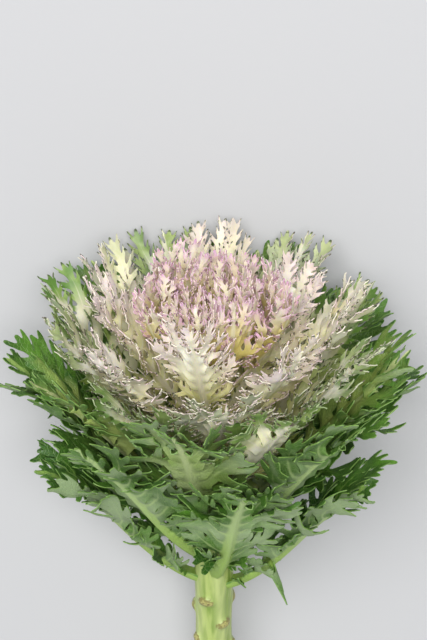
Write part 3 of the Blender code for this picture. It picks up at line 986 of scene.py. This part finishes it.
def heart_piece(sides):
    """The crowded small leaves of the heart, in one piece."""
    rng = random.Random(HEART_SEED)
    bm = bmesh.new()
    for index in range(HEART_LEAVES):
        order = HEART_FIRST + (HEART_LAST - HEART_FIRST) * index / (HEART_LEAVES - 1)
        azimuth = FIRST_AZIMUTH - GOLDEN_ANGLE * (OUTER_COUNT + CREAM_COUNT + HEART_GAP + index)
        length = leaf_length(order)
        reach = float(by_place(order, BLADE_REACH)) * MM * HEART_FULLER
        pitch = length / HEART_WAVES_ALONG
        grown = length * rng.uniform(*HEART_LENGTH_RANGE)
        phase = rng.uniform(0, math.tau)
        leaf = Leaf(order, azimuth, length, grown, reach, HEART_WAVE, pitch, phase)
        made = leaf_object(f"heart_leaf_{index}", leaf, INNER, HEART_RIB, sides["heart"], rng)
        bm.from_mesh(made.data)
        bpy.data.objects.remove(made)
    mesh = bpy.data.meshes.new("heart_leaves")
    bm.to_mesh(mesh)
    bm.free()
    heart = new_object("heart_leaves", mesh)
    for side in sides["heart"]:
        heart.data.materials.append(side)
    finish_piece(heart, ["heart"])


def scar_places(rng):
    """Height and azimuth of each leaf scar, from the same draws as the solid's."""
    places = []
    for index in range(SCAR_COUNT):
        below = index + 2
        height = -SCAR_STEP * below * (1 + SCAR_SPREAD * below)
        jitter = rng.uniform(-SCAR_JITTER, SCAR_JITTER)
        places.append((height, FIRST_AZIMUTH + GOLDEN_ANGLE * below + jitter))
    return places


def swollen(points, scars):
    """The stalk's points with its ribs, furrows and scars; and how ribbed and scarred each is."""
    x, y, height = points.T
    angle, radius = np.arctan2(y, x), np.hypot(x, y)
    winding = angle + WINDING * np.sin(height / WINDING_HEIGHT)
    ridge = 0.5 + 0.5 * np.cos(RIBS_ROUND * winding)
    stands = RIB_STANDS * (ridge - 0.5) * 2 + FURROW_DEPTH * np.cos(FURROWS_ROUND * winding)
    scar = np.zeros(len(points))
    for scar_height, azimuth in scars:
        turned = (angle - azimuth + math.pi) % math.tau - math.pi
        aside, above = turned * radius, height - scar_height
        across = aside / SCAR_HALF_WIDTH
        drooping = above / SCAR_HALF_HEIGHT + SCAR_DROOP * across * across
        near = np.clip(SCAR_EDGE - np.hypot(across, drooping), 0, 1)
        cushion = np.exp(-((aside / CUSHION_HALF) ** 2) - (above / CUSHION_HALF) ** 2)
        smooth = near * near * (3 - 2 * near)
        stands = stands + SCAR_STANDS * smooth + CUSHION_STANDS * cushion
        scar = np.maximum(scar, near)
    grown = (radius + np.where(radius > MM, stands, 0)) / np.maximum(radius, MM / 10)
    return points * np.column_stack((grown, grown, np.ones(len(points)))), ridge, scar


def cut_end(bm, ring):
    """Cuts the foot at a slant, and marks the rind round the pith."""
    foot = Vector((0, STEM_RADIUS, -STEM_BELOW + CUT_RAISED))
    slope = Vector((0, math.sin(CUT_ANGLE), math.cos(CUT_ANGLE)))
    geometry = [*bm.verts, *bm.edges, *bm.faces]
    cut = bmesh.ops.bisect_plane(bm, geom=geometry, plane_co=foot, plane_no=slope, clear_inner=True)
    rim = [item for item in cut["geom_cut"] if isinstance(item, bmesh.types.BMEdge)]
    face = bmesh.ops.contextual_create(bm, geom=rim)["faces"][0]
    face.material_index = 1
    inset = bmesh.ops.inset_individual(bm, faces=[face], thickness=RIND, depth=-PITH_DEPTH)["faces"]
    for part in inset:
        part.material_index = 1
    for vert in {vert for part in inset for vert in part.verts} - set(face.verts):
        vert[ring] = 1.0


def stem_piece(rng):
    """The stalk: spun from its profile, ribbed and scarred, and cut slantwise at its foot."""
    bm = bmesh.new()
    ring = bm.verts.layers.float.new("ring")
    heights = np.arange(-STEM_BELOW - CUT_OFF, STEM_TOP, STEM_STEP)
    side = [(float(stem_radius(height)), height) for height in heights]
    profile = [(0, heights[0]), *side, (STEM_TOP_RADIUS, STEM_TOP), (0, STEM_TOP)]
    chain = [bm.verts.new((radius, 0, z)) for radius, z in profile]
    edges = [bm.edges.new(pair) for pair in zip(chain, chain[1:])]
    bmesh.ops.spin(
        bm, geom=[*chain, *edges], cent=(0, 0, 0), axis=(0, 0, 1), angle=math.tau,
        steps=STEM_SIDES, use_merge=True,
    )
    bmesh.ops.remove_doubles(bm, verts=bm.verts, dist=WELD)
    bmesh.ops.recalc_face_normals(bm, faces=bm.faces)
    points = np.array([vert.co for vert in bm.verts])
    moved, ridge, scar = swollen(points, scar_places(rng))
    ridges, scars = bm.verts.layers.float.new("ridge"), bm.verts.layers.float.new("scar")
    for vert, point, ridged, scarred in zip(bm.verts, moved, ridge, scar):
        vert.co = point
        vert[ridges], vert[scars] = ridged, scarred
    cut_end(bm, ring)
    mesh = bpy.data.meshes.new("stem_stalk")
    bm.to_mesh(mesh)
    bm.free()
    stem = new_object("stem_stalk", mesh)
    stem.data.materials.append(stalk_skin("stalk_skin"))
    stem.data.materials.append(cut_face("cut_end"))
    finish_piece(stem, ["stem"])


# The floor, the light and the camera

def pale_floor():
    bm = bmesh.new()
    bmesh.ops.create_grid(bm, x_segments=2, y_segments=2, size=FLOOR_HALF)
    mesh = bpy.data.meshes.new("floor")
    bm.to_mesh(mesh)
    bm.free()
    floor = new_object("floor", mesh)
    paint = Paint("floor_paper")
    shade = paint.mix(paint.noise(3, 2), PAPER_DARK, PAPER_PALE)
    floor.data.materials.append(paint.finish(shade, roughness=0.9))


def soft_box(name, place, size, watts):
    """A round soft lamp that faces the head."""
    light = bpy.data.lights.new(name, "AREA")
    light.shape = "DISK"
    light.size = size
    light.energy = watts
    made = bpy.data.objects.new(name, light)
    bpy.context.scene.collection.objects.link(made)
    made.location = place
    made.rotation_mode = "QUATERNION"
    made.rotation_quaternion = (Vector(LIT_PLACE) - Vector(place)).to_track_quat("-Z", "Y")


def studio_light():
    scene = bpy.context.scene
    scene.view_settings.view_transform = "Standard"
    world = bpy.data.worlds.new("studio")
    world.use_nodes = True
    world.node_tree.nodes["Background"].inputs["Color"].default_value = STUDIO_WHITE
    world.node_tree.nodes["Background"].inputs["Strength"].default_value = FILL
    scene.world = world
    soft_box("key", KEY_PLACE, KEY_SIZE, KEY_WATTS)
    soft_box("front", FRONT_PLACE, FRONT_SIZE, FRONT_WATTS)


def camera():
    """The photograph's view: from above the lying plant, 30 degrees over its rosette's plane."""
    above = CAMERA_ABOVE_ROSETTE - LYING_TILT
    back = Vector((0, math.sin(above), math.cos(above)))
    up = Vector((0, math.cos(above), -math.sin(above)))
    along = Vector((0, math.cos(LYING_TILT), math.sin(LYING_TILT)))
    data = bpy.data.cameras.new("camera")
    data.sensor_fit = "HORIZONTAL"
    data.sensor_width = SENSOR_WIDTH
    data.lens = SENSOR_WIDTH * CAMERA_DISTANCE / PICTURE_WIDTH
    made = bpy.data.objects.new("camera", data)
    bpy.context.scene.collection.objects.link(made)
    turn = Matrix((up.cross(back), up, back)).transposed().to_4x4()
    target = plant_origin() + along * AIM_HEIGHT
    made.matrix_world = Matrix.Translation(target + back * CAMERA_DISTANCE) @ turn
    bpy.context.scene.camera = made


def main():
    rng = random.Random(SEED)
    green_edge = pale_edge(
        "green_leaf_edge", colour=EDGE_GREEN, shade=rgb(142, 170, 98), speckle=rgb(98, 134, 62),
    )
    cream_edge = pale_edge(
        "cream_leaf_edge", colour=rgb(242, 236, 216), shade=rgb(232, 208, 210), speckle=rgb(100, 90, 78),
    )
    heart_edge = pale_edge(
        "heart_leaf_edge", colour=rgb(242, 226, 214), shade=rgb(230, 200, 212), speckle=rgb(160, 120, 130),
    )
    upper = green_blade("green_upper_side", GreenSide(
        dark=rgb(44, 86, 20), light=rgb(92, 140, 46), vein=rgb(150, 184, 92), stalk=STALK_GREEN,
        bloom=rgb(82, 120, 58), bloomed=0.5, roughness=0.42,
    ))
    under = green_blade("green_waxy_underside", GreenSide(
        dark=rgb(72, 112, 38), light=rgb(102, 142, 62), vein=rgb(172, 196, 128), stalk=STALK_GREEN,
        bloom=rgb(150, 170, 126), bloomed=0.85, roughness=0.6,
    ))
    cream = cream_blade("cream_leaf")
    heart = heart_blade("heart_leaf")
    sides = {
        "green": (upper, under, green_edge),
        "cream": (cream, cream, cream_edge),
        "heart": (heart, heart, heart_edge),
    }
    leaf_pieces(rng, sides)
    stem_piece(rng)
    heart_piece(sides)
    pale_floor()
    studio_light()
    camera()


main()
